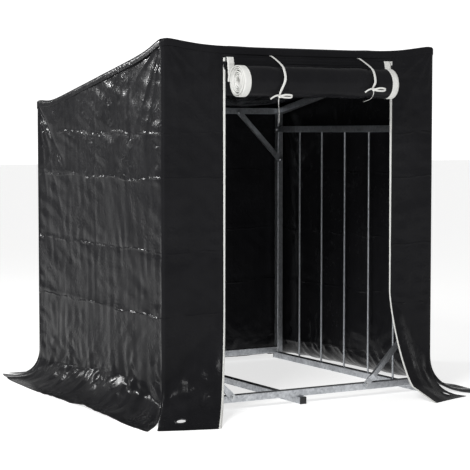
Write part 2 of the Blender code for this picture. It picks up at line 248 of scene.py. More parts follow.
def unit(vectors):
    """Vectors scaled to a length of 1."""
    return vectors / np.maximum(np.linalg.norm(vectors, axis=-1, keepdims=True), 1e-9)


def run_along(points):
    """How far along a line each of its points is."""
    return np.concatenate([[0], np.cumsum(np.linalg.norm(np.diff(points, axis=0), axis=1))])


def pick_along(points, run, wanted):
    """The points of a line at some distances along it."""
    return np.stack([np.interp(wanted, run, column) for column in points.T], axis=1)


def smooth_path(points, count):
    """Evenly spaced points on a smooth curve through a few points."""
    points = np.array(points, float)
    padded = np.vstack([2 * points[0] - points[1], points, 2 * points[-1] - points[-2]])
    fine = []
    for i in range(1, len(padded) - 2):
        before, start, end, after = padded[i - 1:i + 3]
        for t in np.linspace(0, 1, 24, endpoint=False):
            fine.append(0.5 * (2 * start + (end - before) * t
                               + (2 * before - 5 * start + 4 * end - after) * t * t
                               + (3 * start - before - 3 * end + after) * t ** 3))
    fine = np.array(fine + [points[-1]])
    run = run_along(fine)
    return pick_along(fine, run, np.linspace(0, run[-1], count))


def make_object(name, vertices, faces, material):
    """A smooth mesh object from vertices and faces."""
    mesh = bpy.data.meshes.new(name)
    mesh.from_pydata([tuple(v) for v in vertices], [], [tuple(f) for f in faces])
    mesh.materials.append(material)
    mesh.shade_smooth()
    piece = bpy.data.objects.new(name, mesh)
    scene.collection.objects.link(piece)
    return piece


def lay_faces(rows, sides):
    """The faces of a closed bar whose vertices run in rings, a ring to each row."""
    faces = [(row + j, row + (j + 1) % sides, row + sides + (j + 1) % sides, row + sides + j)
             for row in range(0, (rows - 1) * sides, sides) for j in range(sides)]
    return [*faces, tuple(range(sides))[::-1], tuple(range((rows - 1) * sides, rows * sides))]


def make_bar(name, ring, material):
    """A closed bar from the lines along its section's corners."""
    vertices = np.stack(ring, axis=1).reshape(-1, 3)
    return make_object(name, vertices, lay_faces(len(ring[0]), len(ring)), material)


def make_ribbon(name, path, widths, across, material):
    """A flat tape along a path: across gives the direction of its width at each point."""
    along = unit(np.gradient(path, axis=0))
    across = unit(across - (across * along).sum(axis=1)[:, None] * along)
    half = across * widths[:, None] / 2
    rise = np.cross(along, across) * TAPE_THICKNESS / 2
    ring = [path - half, path - half * 0.8 + rise, path + rise * 1.25, path + half * 0.8 + rise, path + half,
            path + half * 0.8 - rise, path - rise * 1.25, path - half * 0.8 - rise]
    return make_bar(name, ring, material)


def flatten_with_door(piece):
    """Attach a tie to the rack's body and give it a mesh of its own."""
    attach(piece, "rack")
    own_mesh(piece)


# Left and right tie: x at the seam, at the front of the roll and at the knot, the knot's angle below
# the roll's front, and its loose end as steps from the knot, (right, backwards, up)
for name, seam_x, front_x, knot_x, knot_turn, loose_end in (
        ("tie_left", -0.140, -0.158, -0.170, 50.0,
         ((-0.003, -0.001, -0.022), (0.001, 0.002, -0.055), (-0.001, 0.0, -0.088))),
        ("tie_right", 0.218, 0.204, 0.195, 20.0,
         ((0.001, -0.001, -0.014), (-0.009, 0.001, -0.031), (-0.036, 0.005, -0.042)))):
    over = ROLL_RADIUS + 0.0045

    def on_roll(x, turn, lift=0.0):
        """A point on the roll's surface, at a turn in degrees below its front."""
        angle = math.radians(turn)
        return (x, ROLL_Y - (over + lift) * math.cos(angle), ROLL_Z - (over + lift) * math.sin(angle))

    knot = np.array(on_roll(knot_x, knot_turn, 0.003))
    route = [(seam_x, FRONT - 0.001, DOOR_SEAM + 0.006),
             (seam_x, FRONT - 0.015, DOOR_SEAM + 0.0045),
             on_roll(seam_x + (front_x - seam_x) * 0.3, -78.0),
             on_roll(seam_x + (front_x - seam_x) * 0.8, -40.0),
             on_roll(front_x, -5.0),
             on_roll(knot_x, knot_turn * 0.7),
             knot, *[knot + np.array(step) for step in loose_end]]
    path = smooth_path(route, 100)
    at_knot = int(np.argmin(np.linalg.norm(path - knot, axis=1)))
    steps = np.arange(100)
    pinch = 0.004 * hill(steps - at_knot, 4.0)
    widths = np.where(steps < at_knot, TAPE_WIDTH, STRING_WIDTH) - pinch
    twist = np.clip((steps - at_knot) / 12.0, 0, 1) * 1.1
    across = np.stack([np.cos(twist), np.sin(twist), 0 * twist], axis=1)
    tape = make_ribbon(name + "_tape", path, widths, across, white_tape)
    pieces = []
    # The bow: a flattened loop to the right, and a single tail to the left that droops
    for part, turns in (
            ("loop", ((0, -0.002, 0), (0.020, -0.009, 0.0045), (0.040, -0.009, 0.0035),
                      (0.0465, -0.007, -0.0005), (0.040, -0.005, -0.0042), (0.020, -0.004, -0.0040),
                      (0, -0.003, -0.001))),
            ("tail", ((0, -0.002, 0.001), (-0.012, -0.007, 0.002), (-0.024, -0.006, -0.002),
                      (-0.035, -0.002, -0.010)))):
        bow = smooth_path([knot + np.array(step) for step in turns], 44)
        pieces.append(make_ribbon("%s_bow_%s" % (name, part), bow, np.full(44, BOW_WIDTH),
                                  np.tile((0.0, -0.5, 1.0), (44, 1)), white_tape))
    # The knot: most of a turn of tape about the others
    helix = [(0.0046 * math.cos(a), -0.003 + 0.0040 * math.sin(a), 0.003 - 0.0013 * a)
             for a in np.linspace(0, 0.8 * math.tau, 9)]
    turns = smooth_path([knot + np.array(step) for step in helix], 40)
    pieces.append(make_ribbon(name + "_knot", turns, np.full(40, BOW_WIDTH),
                              np.tile((0.1, 0.0, 1.0), (40, 1)), white_tape))
    for piece in [tape, *pieces]:
        flatten_with_door(piece)
    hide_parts(name)

# ----------------------------------------------------------------------
# Frame. Square steel tubes, rods and braces, hot-dip galvanised after cutting, and bolted together.
# Zinc leaves pale crystals (spangle) of about 8 mm with slightly different gloss.
# ----------------------------------------------------------------------
SPANGLE = 0.008
galvanised, shader, point = start_material("galvanised_steel", Metallic=0.85, Roughness=0.4)
cells = add(galvanised, "TexVoronoi", {"Vector": point, "Scale": 1 / SPANGLE}, feature="F1").outputs["Color"]
cloud = mottle(galvanised, point, 14.0, 6.0)
tone = combine(galvanised, "ADD", combine(galvanised, "MULTIPLY", cells, 0.55), cloud)
tone = remap(galvanised, tone, 0.3, 1.1)
paint(galvanised, shader, tone, "#9A9DA2", "#CDD0D4")
link(galvanised, remap(galvanised, tone, 0.0, 1.0, 0.48, 0.32), shader, "Roughness")
link(galvanised, add_bump(galvanised, cloud, 0.2, 0.0008), shader, "Normal")


def repaint(names, material):
    """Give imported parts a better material."""
    for name in names:
        for place in frame["nodes"][name].material_slots:
            place.material = material


METAL_KINDS = ("foot_bar", "base_rail", "top_rail", "post", "side_rail", "roof_rail", "side_rod",
               "front_brace", "rear_brace")
repaint([name for name in frame["nodes"] if name.startswith(METAL_KINDS)], galvanised)

# Foot caps. Push-in square plugs of black polyethylene, moulded with a faintly matt face.
black_plastic, shader, point = start_material("moulded_black_plastic", Roughness=0.45)
grain = mottle(black_plastic, point, 900.0, 3.0)
paint(black_plastic, shader, grain, "#101013", "#1B1B1F")
link(black_plastic, add_bump(black_plastic, grain, 0.2, 0.0003), shader, "Normal")
repaint([name for name in frame["nodes"] if name.startswith("foot_cap")], black_plastic)

# Bolts. Zinc-plated M6 hexagon heads on flat washers; each goes through one tube into the next.
BOLT_HEAD = 0.0055
zinc_plated, shader, point = start_material("zinc_plated_steel", Metallic=1.0, Roughness=0.28)
paint(zinc_plated, shader, mottle(zinc_plated, point, 240.0, 4.0), "#A8ABAF", "#DADCDD")


def finish_mesh(bm, name, material):
    """Turn an edited mesh into a named one with its material."""
    mesh = bpy.data.meshes.new(name)
    bm.to_mesh(mesh)
    bm.free()
    mesh.materials.append(material)
    return mesh


def bolt_mesh():
    """A hexagon head with a chamfered top, a washer under it, and its face at Z = 0."""
    bm = bmesh.new()
    bmesh.ops.create_cone(bm, cap_ends=True, segments=28, radius1=0.0088, radius2=0.0084, depth=0.0014)
    bmesh.ops.translate(bm, vec=(0, 0, 0.0007), verts=bm.verts)
    washer = set(bm.verts)
    bmesh.ops.create_cone(bm, cap_ends=True, segments=6, radius1=BOLT_HEAD, radius2=BOLT_HEAD, depth=0.0042)
    head = [vert for vert in bm.verts if vert not in washer]
    bmesh.ops.translate(bm, vec=(0, 0, 0.0035), verts=head)
    rims = [edge for edge in bm.edges if all(v in head and v.co.z > 0.005 for v in edge.verts)]
    bmesh.ops.bevel(bm, geom=rims, offset=0.0009, segments=2, affect="EDGES")
    return finish_mesh(bm, "hexagon_bolt", zinc_plated)


hexagon_bolt = bolt_mesh()


def add_bolt(name, place, outwards):
    """A bolt head on a face, its axis along outwards."""
    bolt = bpy.data.objects.new(name, hexagon_bolt)
    bolt.location = Vector(place) + Vector(outwards) * 0.0002
    bolt.rotation_euler = Vector(outwards).to_track_quat("Z", "X").to_euler()
    scene.collection.objects.link(bolt)
    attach(bolt, "rack")


# How far a brace's bolt is from its end, and a rail's bolt is from the rail's middle line
BRACE_HOLE = 0.015
RAIL_BOLT = 0.026
for side, sign in (("left", -1), ("right", 1)):
    for depth in ("front", "rear"):
        ends = "%s_%s" % (depth, side)
        post_low, post_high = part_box("post_" + ends)
        post_x, post_y, _ = middle_of("post_" + ends)
        brace_low, brace_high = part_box("%s_brace_%s" % (depth, side))
        tab_face = post_low[1] - 0.0033
        inner = brace_high[0] if sign < 0 else brace_low[0]
        rail_z, post_z = brace_low[2] + BRACE_HOLE, brace_high[2] - BRACE_HOLE
        if depth == "rear":
            rail_z, post_z = post_z, rail_z
        add_bolt("bolt_%s_brace_rail_%s" % (depth, side), (inner + sign * BRACE_HOLE, tab_face, rail_z),
                 (0, -1, 0))
        add_bolt("bolt_%s_brace_post_%s" % (depth, side), (post_x, tab_face, post_z), (0, -1, 0))
        inner_face = post_x - sign * (post_high[0] - post_low[0]) / 2
        rail_z = middle_of("side_rail_" + side)[2]
        add_bolt("bolt_side_rail_" + ends, (inner_face, post_y, rail_z), (-sign, 0, 0))
        out = -1 if depth == "front" else 1
        outer_face = post_y + out * (post_high[1] - post_low[1]) / 2
        for rail, rise in (("base", RAIL_BOLT), ("top", -RAIL_BOLT)):
            bolt_z = middle_of("%s_rail_%s" % (rail, depth))[2] + rise
            add_bolt("bolt_%s_rail_%s" % (rail, ends), (post_x, outer_face, bolt_z), (0, out, 0))

# ----------------------------------------------------------------------
# Cover. Black woven polyethylene sheet with a glossy film on it, cut in panels and sewn. It was
# packed flat, so it keeps sharp cross creases, and it pulls in folds from the frame's top corners.
# ----------------------------------------------------------------------
CLOTH = 0.0009
THREAD = 0.006
CORNER_RADIUS = 0.012
CELL = 0.006
# A wall's upper edge is this far under the roof's
SEAM_DROP = 0.002

# Polyethylene film over a weave of flat black threads. The threads are 2 mm wide and are drawn at
# 6 mm, so that they show; the film is glossier where it isn't rubbed or dusty.
tarpaulin, shader, point = start_material("woven_polyethylene", Specular_IOR_Level=0.05)
dust = mottle(tarpaulin, point, 5.0, 7.0, Roughness=0.6)
rub = mottle(tarpaulin, point, 60.0, 5.0)
paint(tarpaulin, shader, dust, "#141416", "#232325")
film = combine(tarpaulin, "MULTIPLY", dust, rub)
link(tarpaulin, remap(tarpaulin, film, 0.1, 0.45, 0.16, 0.34), shader, "Roughness")
threads = [bands(tarpaulin, point, THREAD, axis, Distortion=0.4, Detail=1.0) for axis in "XYZ"]
weave = combine(tarpaulin, "MULTIPLY", combine(tarpaulin, "MULTIPLY", *threads[:2]), threads[2])
bump = add_bump(tarpaulin, weave, 0.12, 0.0006)
streak_point = add(tarpaulin, "Mapping", {"Vector": point, "Scale": (1.0, 1.0, 0.08)}).outputs[0]
bump = add_bump(tarpaulin, mottle(tarpaulin, streak_point, 190.0, 4.0), 0.45, 0.0008, bump)
# Crinkles of about 14 mm, sharp as in stiff film, and only where the sheet has been handled
CRINKLE = 0.014
ridges = add(tarpaulin, "TexNoise", {"Vector": point, "Scale": 1 / CRINKLE, "Detail": 3.0},
             noise_type="RIDGED_MULTIFRACTAL").outputs[0]
handled = remap(tarpaulin, mottle(tarpaulin, point, 5.5, 2.0), 0.38, 0.64)
bump = add_bump(tarpaulin, combine(tarpaulin, "MULTIPLY", ridges, handled), 1.0, 0.0016, bump)
# Packing creases, thin and broken, at the heights where the cover was folded across
PACKING_CREASES = (0.945, 0.79, 0.55, 0.335)
height = add(tarpaulin, "SeparateXYZ", {0: point}).outputs[2]
wander = combine(tarpaulin, "MULTIPLY_ADD", handled, 0.012, height)
crease = 0.0
for fold_height in PACKING_CREASES:
    near = combine(tarpaulin, "ABSOLUTE", combine(tarpaulin, "SUBTRACT", wander, fold_height))
    crease = combine(tarpaulin, "ADD", crease, remap(tarpaulin, near, 0.0, 0.005, 1.0, 0.0))
worn = remap(tarpaulin, mottle(tarpaulin, point, 16.0, 3.0), 0.4, 0.6)
bump = add_bump(tarpaulin, combine(tarpaulin, "MULTIPLY", crease, worn), 1.0, 0.0025, bump)
link(tarpaulin, bump, shader, "Normal")


def value_noise(points, seed):
    """Smooth noise from -1 to 1 at an array of points, the same in each run."""
    cell = np.floor(points).astype(np.int64)
    part = points - cell
    part = ease(part)
    total = np.zeros(points.shape[:-1])
    for corner in itertools.product((0, 1), repeat=2):
        key = (cell[..., 0] + corner[0]) * 374761393 + (cell[..., 1] + corner[1]) * 668265263 + seed * 974711
        key = (key ^ (key >> 13)) * 1274126177 & 0x7FFFFFFF
        weight = np.ones(points.shape[:-1])
        for axis in (0, 1):
            weight = weight * (part[..., axis] if corner[axis] else 1 - part[..., axis])
        total += weight * ((key ^ (key >> 16)) % 65536 / 32767.5 - 1)
    return total


def noise_at(across, up, across_size, up_size, seed):
    """Noise over a sheet, with one swell in each size."""
    across, up = np.broadcast_arrays(across, up)
    return value_noise(np.stack([across / across_size + 7.3, up / up_size + 3.1], axis=-1), seed)


def creases(across, up, spacing, seed):
    """Straight sharp creases in several directions, each only in patches."""
    total = np.zeros(np.broadcast(across, up).shape)
    across = across + total
    up = up + total
    for i in range(6):
        turn = 0.35 + i * 1.1 + 0.7 * seed
        run = (across * math.cos(turn) + up * math.sin(turn)) / spacing + 0.37 * i
        wave = 1 - 4 * np.abs(run - np.floor(run) - 0.5)
        patch = noise_at(across, up, spacing * 1.4, spacing * 1.4, seed * 10 + i)
        total += wave * np.clip(patch * 1.8 - 0.2, 0, 1)
    return total


def fold(offset, width):
    """The sharp peak of a fold, 1 on its line."""
    return np.exp(-np.abs(offset) / width)


def corner_folds(across, up, corner, angles, reach, depth):
    """Tension folds that fan out from a corner; angles are in degrees from straight down."""
    aside, down = across - corner[0], corner[1] - up
    distance = np.hypot(aside, down)
    angle = np.degrees(np.arctan2(aside, down))
    total = np.zeros(distance.shape)
    for i, middle in enumerate(angles):
        rise = np.clip(distance / 0.04, 0, 1) * np.exp(-distance / (reach * (1 + 0.3 * (i % 2))))
        total += depth * rise * fold(angle - middle, 3.5)
    return total


def make_sheet(name, points, keep=None):
    """A sheet of cloth from a grid of points, whose outer side faces outwards; keep picks its faces."""
    rows, columns = points.shape[:2]
    index = np.arange(rows * columns).reshape(rows, columns)
    faces = np.stack([index[:-1, :-1], index[:-1, 1:], index[1:, 1:], index[1:, :-1]], axis=-1)
    faces = faces.reshape(-1, 4) if keep is None else faces[keep]
    used = np.unique(faces)
    number = np.zeros(rows * columns, int)
    number[used] = np.arange(len(used))
    piece = make_object(name, points.reshape(-1, 3)[used], number[faces], tarpaulin)
    thickness = piece.modifiers.new("thickness", "SOLIDIFY")
    thickness.thickness = CLOTH
    thickness.offset = -1.0
    return piece


def normals_of(points):
    """Outward unit normals of a grid of points."""
    return unit(np.cross(np.gradient(points, axis=1), np.gradient(points, axis=0)))


def spread(keys, values, wanted):
    """Smooth values between a few keyed ones."""
    result = []
    before = np.clip(np.searchsorted(keys, wanted) - 1, 0, len(keys) - 2)
    after = before + 1
    gap = np.array(keys)[after] - np.array(keys)[before]
    t = (wanted - np.array(keys)[before]) / gap
    for column in np.array(values, float).reshape(len(keys), -1).T:
        rise = np.gradient(column, keys)
        result.append((1 - ease(t)) * column[before] + ease(t) * column[after]
                      + ((t ** 3 - 2 * t ** 2 + t) * rise[before] + (t ** 3 - t ** 2) * rise[after]) * gap)
    return np.stack(result, axis=-1)


# A skirt that leans out: its rise for each metre of reach, and the share of the reach that its bend
# from the wall takes up, with how sharp the bend is
SKIRT_SLOPE = 0.42
KNEE_SHARE = 0.52
KNEE_BEND = 1.4


def wall_points(plan, top, hem, height, sharpness, lean, split):
    """A wall and its ground skirt: one plan point, top, hem offset, flare height and bend for each column.

    Lean is from 0, a skirt that lies flat, to 1, one that slopes all the way down to its hem. Split is how
    far a column's hem is from that of the panel beside it, where they lie together for half of the way."""
    wall_rows = int((top.max() - height.min()) / CELL)
    steps = np.linspace(0, 1, 120) ** 3
    columns = []
    for place, upper, offset, rise, bend, slope, apart in zip(plan, top, hem, height, sharpness, lean, split):
        out, reach = steps, np.hypot(*offset)
        lying = rise * (1 - (1 - (1 - out) ** bend) ** (1 / bend))
        tail = SKIRT_SLOPE * reach
        inner = np.clip(1 - out / KNEE_SHARE, 0, 1)
        sloping = tail * (1 - out) + (rise - tail) * (1 - (1 - inner ** KNEE_BEND) ** (1 / KNEE_BEND))
        up = np.maximum(CLOTH + 0.0006, lying * (1 - slope) + sloping * slope)
        run = np.concatenate([[0], np.cumsum(np.hypot(np.diff(out) * reach, np.diff(up)))])
        even = np.linspace(0, run[-1], 46)
        out, up = np.interp(even, run, out), np.interp(even, run, up)
        down = np.linspace(upper, rise, wall_rows, endpoint=False)
        together = apart * (np.clip(2 * out - 1, 0, 1) - out)
        x = np.concatenate([np.full(wall_rows, place[0]), place[0] + offset[0] * out + together])
        y = np.concatenate([np.full(wall_rows, place[1]), place[1] + offset[1] * out])
        columns.append(np.stack([x, y, np.concatenate([down, up])], axis=-1))
    return np.stack(columns, axis=1)


def top_edge(distance, depth, run):
    """How far the roof's edge droops at a distance from its nearest corner, which is rounded off."""
    return depth * (1 - np.exp(-(distance / run) ** 1.5)) + 0.009 * np.exp(-distance / 0.010)


def back_lift(distance):
    """The back corners stand a little above the roof's plane."""
    return 0.010 * hill(distance, 0.09)


def plan_line(start, end, rounded_start, rounded_end):
    """Plan points of one wall, with half of each rounded corner that it meets."""
    start, end = np.array(start, float), np.array(end, float)
    along = unit(end - start)
    inwards = np.array((along[1], -along[0]))

    def half_corner(corner, forwards):
        """From the corner's diagonal to where the straight wall begins."""
        return [corner + CORNER_RADIUS * (forwards * (1 - math.sin(a)) + inwards * (1 - math.cos(a)))
                for a in np.linspace(math.pi / 4, 0, 5)[:-1]]

    first = start + along * CORNER_RADIUS if rounded_start else start
    last = end - along * CORNER_RADIUS if rounded_end else end
    points = half_corner(start, along) if rounded_start else []
    points += list(np.linspace(first, last, int(np.linalg.norm(last - first) / CELL)))
    if rounded_end:
        points += half_corner(end, -along)[::-1]
    return np.array(points)


def wall_relief(across, up, seed):
    """Creases and swells that every wall has; across is the way along it and up the height."""
    length = across.max()
    from_corner = np.minimum(across, length - across)
    near_corner = from_corner - 0.03
    ladder = 0.0018 * noise_at(0 * across, up, 0.05, 0.021, seed + 5) * hill(near_corner, 0.028)
    ladder += 0.0016 * noise_at(across, up, 0.05, 0.03, seed + 6) * hill(near_corner, 0.03)
    swell = 0.005 * noise_at(across, up, 0.34, 0.42, seed)
    swell += 0.0009 * noise_at(across, up, 0.05, 0.4, seed + 1)
    crumple = creases(across, up, 0.17, seed) * 0.0013 * (1 + 2.6 * hill(up - 0.07, 0.06))
    crumple += creases(across, up, 0.06, seed + 3) * 0.0009 * (1 + 2.6 * hill(up - 0.08, 0.07))
    fine = 0.00035 * noise_at(across, up, 0.013, 0.10, seed + 2)
    packing = np.zeros(up.shape)
    for i, height in enumerate(PACKING_CREASES):
        packing += (0.0026 if i % 2 else -0.0024) * fold(up - height - 0.03 * (across / length - 0.5), 0.016)
    for i in (1, 2, 3):
        packing += (0.0012 if i % 2 else -0.0012) * fold(across - length * i / 4, 0.010)
    return ladder + swell + crumple + fine + packing


def hold_edges(relief, across, up, top, margin=0.02):
    """Creases fade out where a panel is sewn: at its sides and along its top."""
    length = across.max()
    near = np.minimum(np.minimum(across, length - across) / margin, (top - up) / margin / 1.2)
    return relief * ease(np.clip(near, 0, 1))


def raise_by(points, relief):
    """Move a grid outwards by its relief, but nothing below the floor."""
    points = points + normals_of(points) * relief[..., None]
    points[..., 2] = np.maximum(points[..., 2], CLOTH + 0.0004)
    return points


def finish_cover_piece(piece, node):
    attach(piece, "rack")
    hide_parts(node)


# Side walls. Each is one sheet from the roof to the ground skirt, which lies outwards on the floor.
SIDE_DROOP = 0.021
SIDE_RUN = 0.09
# Hem offsets, (outwards, backwards), at shares of the way from the front corner to the back one
SIDE_HEM_KEYS = (0.0, 0.05, 0.13, 0.32, 0.55, 0.82, 0.94, 1.0)
SIDE_HEM = ((0.152, -0.190), (0.156, -0.158), (0.149, -0.060), (0.141, -0.008), (0.148, 0.0), (0.141, 0.010),
            (0.125, 0.070), (0.098, 0.136))
for side, sign in (("left", -1), ("right", 1)):
    corner_x = LEFT if sign < 0 else RIGHT
    ends = ((corner_x, FRONT), (corner_x, BACK)) if sign < 0 else ((corner_x, BACK), (corner_x, FRONT))
    plan = plan_line(*ends, True, True)
    share = np.clip((plan[:, 1] - FRONT) / (BACK - FRONT), 0, 1)
    nearest = np.minimum(plan[:, 1] - FRONT, BACK - plan[:, 1])
    top = roof_z(plan[:, 1]) - top_edge(nearest, SIDE_DROOP, SIDE_RUN) - SEAM_DROP
    top += back_lift(BACK - plan[:, 1])
    hem = spread(SIDE_HEM_KEYS, SIDE_HEM, share) * np.array((sign, 1.0))
    height = spread((0.0, 0.5, 1.0), (0.150, 0.125, 0.105), share)[:, 0]
    sharpness = spread((0.0, 0.15, 0.5, 0.85, 1.0), (2.9, 2.3, 2.1, 2.3, 2.8), share)[:, 0]
    split = -0.017 * hill(share, 0.035) * (sign < 0)
    smooth = wall_points(plan, top, hem, height, sharpness, 0 * share, split)
    depth = np.broadcast_to(plan[:, 1] - FRONT, smooth.shape[:2])
    up = smooth[..., 2]
    seed = 11 if sign < 0 else 17
    relief = wall_relief(depth - depth.min(), up, seed)
    relief += corner_folds(depth, up, (0.0, FRONT_TOP), (20, 33, 56), 0.20, 0.008)
    relief -= corner_folds(depth, up, (BACK - FRONT, roof_z(BACK)), (-13, -28, -46), 0.20, 0.012)
    relief += 0.004 * np.sin(depth * 9.0 + seed) * hill(up - 0.05, 0.06)
    bend_line = 0.118 - 0.045 * depth / depth.max() + 0.006 * noise_at(depth, 0 * depth, 0.14, 1.0, seed + 8)
    broken = np.clip(0.6 + noise_at(depth, 0 * depth, 0.2, 1.0, seed + 9), 0, 1)
    relief -= 0.006 * fold(up - bend_line, 0.007) * broken
    relief = hold_edges(relief, depth - depth.min(), up, top)
    sheet = make_sheet("side_wall_" + side, raise_by(smooth, relief))
    finish_cover_piece(sheet, "cover_side_" + side)

# Back wall. The same sheet as the sides, with a peg hole near each lower corner.
BACK_DROOP = 0.018
BACK_RUN = 0.11
plan = plan_line((LEFT, BACK), (RIGHT, BACK), True, True)
nearest = np.minimum(plan[:, 0] - LEFT, RIGHT - plan[:, 0])
share = np.clip((plan[:, 0] - LEFT) / (RIGHT - LEFT), 0, 1)
top = roof_z(BACK) - top_edge(nearest, BACK_DROOP, BACK_RUN) + back_lift(nearest) - SEAM_DROP
hem = spread((0.0, 0.12, 0.5, 0.88, 1.0),
             ((-0.074, 0.138), (-0.03, 0.136), (0.0, 0.139), (0.03, 0.134), (0.074, 0.138)), share)
smooth = wall_points(plan, top, hem, np.full(len(plan), 0.125), np.full(len(plan), 2.4), 0 * share, 0 * share)
width = np.broadcast_to(plan[:, 0] - LEFT, smooth.shape[:2])
relief = wall_relief(width - width.min(), smooth[..., 2], 23)
relief += corner_folds(width, smooth[..., 2], (0.0, roof_z(BACK)), (20, 37, 55), 0.17, 0.0065)
relief += corner_folds(width, smooth[..., 2], (RIGHT - LEFT, roof_z(BACK)), (-18, -40, -57), 0.17, 0.0065)
relief = hold_edges(relief, width - width.min(), smooth[..., 2], top)
back_points = raise_by(smooth, relief)

# Eyelets. Each peg hole is edged with a black plastic ring, pressed through the sheet.
HOLE_RADIUS = 0.015
RING_WIDTH = 0.0065
FLAT_MARGIN = 0.012


def cut_hole(points, centre):
    """Open a round hole in a grid of points; gives the faces to keep, and the hole's frame."""
    offset = points[..., :2] - np.array(centre)
    distance = np.hypot(offset[..., 0], offset[..., 1])
    row, column = np.unravel_index(distance.argmin(), distance.shape)
    middle = points[row, column].copy()
    normal = unit(normals_of(points)[row - 2:row + 3, column - 2:column + 3].mean(axis=(0, 1)))
    near = distance < HOLE_RADIUS + FLAT_MARGIN
    pressed = np.clip((HOLE_RADIUS + FLAT_MARGIN - distance[near]) / 0.008, 0, 1)
    points[near] -= ((points[near] - middle) @ normal * pressed)[:, None] * normal
    edge = HOLE_RADIUS + 0.001
    ring = (distance < edge) & (distance > edge * 0.45)
    points[ring, :2] += offset[ring] * (edge / distance[ring] - 1)[:, None]
    inside = distance <= edge * 0.45
    hit = inside[:-1, :-1] | inside[:-1, 1:] | inside[1:, 1:] | inside[1:, :-1]
    across = (points[:-1, :-1] + points[:-1, 1:] + points[1:, 1:] + points[1:, :-1]) / 4
    hit |= np.hypot(across[..., 0] - centre[0], across[..., 1] - centre[1]) < edge * 0.93
    centre_z = middle[2] - ((np.array(centre) - middle[:2]) @ normal[:2]) / normal[2]
    return ~hit, Vector((*centre, centre_z)), normal


def add_eyelet(name, middle, normal):
    """A rounded ring about a hole, lying on the sheet."""
    profile = [(-0.5, -0.0014), (-0.5, 0.0006), (-0.25, 0.0018), (0.15, 0.0019), (0.45, 0.0009),
               (0.5, 0.0001), (0.5, -0.0009), (0.1, -0.0014)]
    turn = Vector(normal).to_track_quat("Z", "X").to_matrix()
    steps = 40
    vertices = []
    for i in range(steps):
        a = math.tau * i / steps
        for out, rise in profile:
            radius = HOLE_RADIUS + RING_WIDTH / 2 + out * RING_WIDTH
            vertices.append(middle + turn @ Vector((radius * math.cos(a), radius * math.sin(a), rise)))
    sides = len(profile)
    faces = [(i * sides + j, (i + 1) % steps * sides + j, (i + 1) % steps * sides + (j + 1) % sides,
              i * sides + (j + 1) % sides) for i in range(steps) for j in range(sides)]
    ring = make_object(name, vertices, faces, black_plastic)
    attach(ring, "rack")
    return ring


BACK_HOLE_Y = BACK + 0.068
keep_back = None
for side, x in (("left", LEFT), ("right", RIGHT)):
    keep, middle, normal = cut_hole(back_points, (x, BACK_HOLE_Y))
    keep_back = keep if keep_back is None else keep_back & keep
    add_eyelet("eyelet_back_" + side, middle, normal)
sheet = make_sheet("back_wall", back_points, keep_back)
finish_cover_piece(sheet, "cover_back")

# Front panels. One on each side of the door; each runs down into a flap that lies out on the floor,
# further at the door than at the corner. The flaps don't lie quite alike.
DOOR_FLARE = 0.38
CORNER_FLARE = 0.150
FRONT_DROOP = 0.027
FRONT_RUN = 0.13


def front_column_data(x, side):
    """Hem offsets, flare heights, bends, leans and splits of the front at positions x, for one panel."""
    if side == "left":
        share = np.clip((x - LEFT) / (ZIP_LEFT[1] - LEFT), 0, 1)
        hem = spread((0.0, 0.25, 1.0), ((-0.122, -0.193), (-0.128, -0.213), (-0.163, -0.258)), share)
    else:
        share = np.clip((RIGHT - x) / (RIGHT - ZIP_RIGHT[0]), 0, 1)
        hem = spread((0.0, 0.3, 1.0), ((0.046, -0.152), (0.042, -0.170), (0.044, -0.218)), share)
    height = CORNER_FLARE + (DOOR_FLARE - CORNER_FLARE) * share ** 1.3
    split = 0.014 * hill(share, 0.15) * (side == "left")
    lean = 0.45 * np.clip(share / 0.4, 0, 1) if side == "left" else np.clip(share / 0.7, 0, 1)
    return hem, height, 2.9 - 0.8 * share, lean, split


def front_top(x):
    """Height of the front's upper edge, which droops between the corners."""
    return roof_z(FRONT) - top_edge(np.minimum(x - LEFT, RIGHT - x), FRONT_DROOP, FRONT_RUN) - SEAM_DROP


def front_points(plan, side):
    """The smooth grid over some plan points of the front, from right to left, and its upper edge."""
    hem, height, sharpness, lean, split = front_column_data(plan[:, 0], side)
    top = front_top(plan[:, 0])
    return wall_points(plan, top, hem, height, sharpness, lean, split), top


for side, ends, hole, seed in (
        ("left", ((ZIP_LEFT[0], FRONT), (LEFT, FRONT)), (LEFT - 0.008, FRONT - 0.143), 31),
        ("right", ((RIGHT, FRONT), (ZIP_RIGHT[1], FRONT)), (RIGHT - 0.018, FRONT - 0.112), 37)):
    plan = plan_line(*ends, side == "right", side == "left")
    smooth, top = front_points(plan, side)
    width = np.broadcast_to(np.abs(plan[:, 0] - plan[0, 0]), smooth.shape[:2])
    up = smooth[..., 2]
    relief = wall_relief(width, up, seed) * 0.75
    if side == "left":
        relief += corner_folds(width, up, (width.max(), FRONT_TOP), (-14, -30, -48), 0.16, 0.005)
        slanting = fold((up - 1.12) + 0.9 * (width - 0.10), 0.014)
        relief += 0.0045 * slanting * hill(up - 1.10, 0.09)
    else:
        relief += corner_folds(width, up, (0.0, FRONT_TOP), (12, 30, 52), 0.14, 0.005)
    relief = hold_edges(relief, width, up, top, 0.03)
    points = raise_by(smooth, relief)
    keep, middle, normal = cut_hole(points, hole)
    ring = add_eyelet("eyelet_front_" + side, middle, normal)
    sheet = make_sheet("front_panel_" + side, points, keep)
    finish_cover_piece(sheet, "cover_front_" + side)

